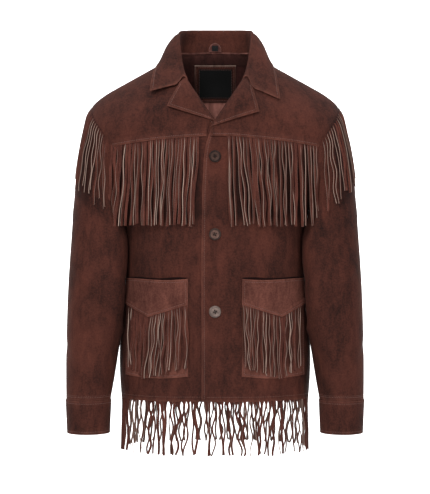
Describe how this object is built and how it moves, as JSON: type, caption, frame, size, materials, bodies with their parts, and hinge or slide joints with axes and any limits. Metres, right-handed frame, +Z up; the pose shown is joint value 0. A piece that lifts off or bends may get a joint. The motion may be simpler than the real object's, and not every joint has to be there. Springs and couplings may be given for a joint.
{
  "type": "suede fringe jacket",
  "caption": "Western suede jacket in the hollow shape it has when worn, with fringed yokes, armholes, patch pockets and hem, a notched collar and a buttoned front.",
  "frame": {"origin": "middle of the neck, at the height where the shoulder seams would reach it, where the wearer's shoulders hold the jacket", "axes": "+Z up, the fronts face -Y, +X towards the wearer's left"},
  "size_m": [0.5716, 0.2669, 0.8326],
  "materials": {
    "suede": "napped suede",
    "trim": "napped suede, a little lighter",
    "strands": "cut suede strips with a paler raw edge",
    "inside": "suede, flesh side",
    "label": "plain black woven tape, left bare",
    "button": "satin"
  },
  "bodies": {
    "root": {"back": "suede", "front_left": "suede", "front_right": "suede", "yoke_left": "suede", "yoke_right": "suede", "lapel_left": "suede", "lapel_right": "suede", "collar": "suede", "sleeve_left": "suede", "sleeve_right": "suede", "cuff_left": "suede", "cuff_right": "suede", "pocket_left": "suede", "pocket_right": "suede", "pocket_trim_left": "trim", "pocket_trim_right": "trim", "loop_patch": "trim", "chest_fringe_left": "strands", "chest_fringe_right": "strands", "armhole_fringe_left": "strands", "armhole_fringe_right": "strands", "pocket_fringe_left": "strands", "pocket_fringe_right": "strands", "hem_fringe_left": "strands", "hem_fringe_right": "strands", "hem_fringe_back": "strands", "label_patch": "inside", "label": "label", "size_tab": "label", "button_1": "button", "button_2": "button", "button_3": "button"}
  },
  "joints": []
}
